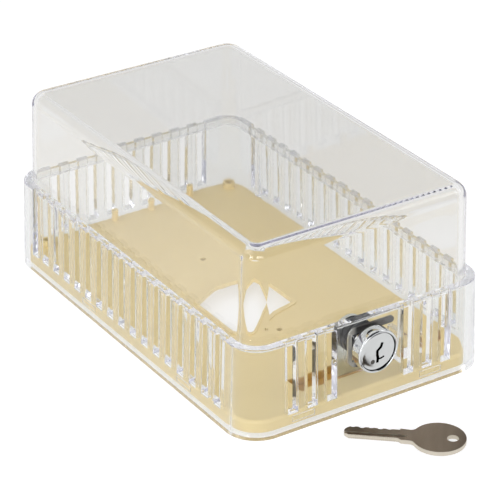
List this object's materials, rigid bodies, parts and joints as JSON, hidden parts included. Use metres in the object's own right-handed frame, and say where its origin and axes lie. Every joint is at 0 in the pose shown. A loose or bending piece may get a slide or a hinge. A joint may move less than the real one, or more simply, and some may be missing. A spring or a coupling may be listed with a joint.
{
  "type": "thermostat lock box",
  "caption": "Clear thermostat guard with a vented ring base on an opaque wall plate, a clear lift-off cover, a keyed cam lock in the front wall and its flat key.",
  "frame": {"origin": "centre of the wall plate, midway between its two box screws, on the wall side", "axes": "+X across the guard, +Y away from the lock, +Z out of the wall"},
  "size_m": [0.129, 0.2574, 0.0882],
  "materials": {
    "beige_plastic": "satin moulded",
    "clear_plastic": "clear, polished mould",
    "chrome": "bright plated",
    "plug_chrome": "satin plated",
    "zinc": "zinc plated",
    "spring_steel": "oiled",
    "wafer_brass": "stamped",
    "key_nickel": "nickel silver, fine brushed"
  },
  "bodies": {
    "guard": {"wall_plate": "beige_plastic", "ring_base": "clear_plastic", "lock_housing": "chrome", "housing_clip": "spring_steel"},
    "cover": {"cover": "clear_plastic"},
    "plug": {"lock_plug": "plug_chrome", "face_pin": "spring_steel", "stop_washer": "zinc", "cam": "zinc", "lock_washer": "zinc", "cam_screw": "zinc", "wafer_spring_1": "spring_steel", "wafer_spring_2": "spring_steel", "wafer_spring_3": "spring_steel", "wafer_spring_4": "spring_steel", "wafer_spring_5": "spring_steel"},
    "key": {"key": "key_nickel"},
    "wafer_1": {"wafer_1": "wafer_brass"},
    "wafer_2": {"wafer_2": "wafer_brass"},
    "wafer_3": {"wafer_3": "wafer_brass"},
    "wafer_4": {"wafer_4": "wafer_brass"},
    "wafer_5": {"wafer_5": "wafer_brass"}
  },
  "joints": [
    {"name": "cover_lift", "type": "slide", "parent": "guard", "child": "cover", "axis": [0, 0, 1], "range_m": [0, 0.06]},
    {"name": "plug_turn", "type": "hinge", "parent": "guard", "child": "plug", "pos_m": [0, -0.1, 0.029], "axis": [0, -1, 0], "range_deg": [0, 90]},
    {"name": "key_lift", "type": "slide", "parent": "guard", "child": "key", "axis": [0, 0, 1], "range_m": [0, 0.05]},
    {"name": "wafer_1_slide", "type": "slide", "parent": "plug", "child": "wafer_1", "axis": [0, 0, 1], "range_m": [0, 0.00045], "stiffness_N_per_m": 200, "springref_m": 0.001, "deforming": ["wafer_spring_1"]},
    {"name": "wafer_2_slide", "type": "slide", "parent": "plug", "child": "wafer_2", "axis": [0, 0, 1], "range_m": [0, 0.00045], "stiffness_N_per_m": 200, "springref_m": 0.001, "deforming": ["wafer_spring_2"]},
    {"name": "wafer_3_slide", "type": "slide", "parent": "plug", "child": "wafer_3", "axis": [0, 0, 1], "range_m": [0, 0.00045], "stiffness_N_per_m": 200, "springref_m": 0.001, "deforming": ["wafer_spring_3"]},
    {"name": "wafer_4_slide", "type": "slide", "parent": "plug", "child": "wafer_4", "axis": [0, 0, 1], "range_m": [0, 0.00045], "stiffness_N_per_m": 200, "springref_m": 0.001, "deforming": ["wafer_spring_4"]},
    {"name": "wafer_5_slide", "type": "slide", "parent": "plug", "child": "wafer_5", "axis": [0, 0, 1], "range_m": [0, 0.00045], "stiffness_N_per_m": 200, "springref_m": 0.001, "deforming": ["wafer_spring_5"]}
  ]
}
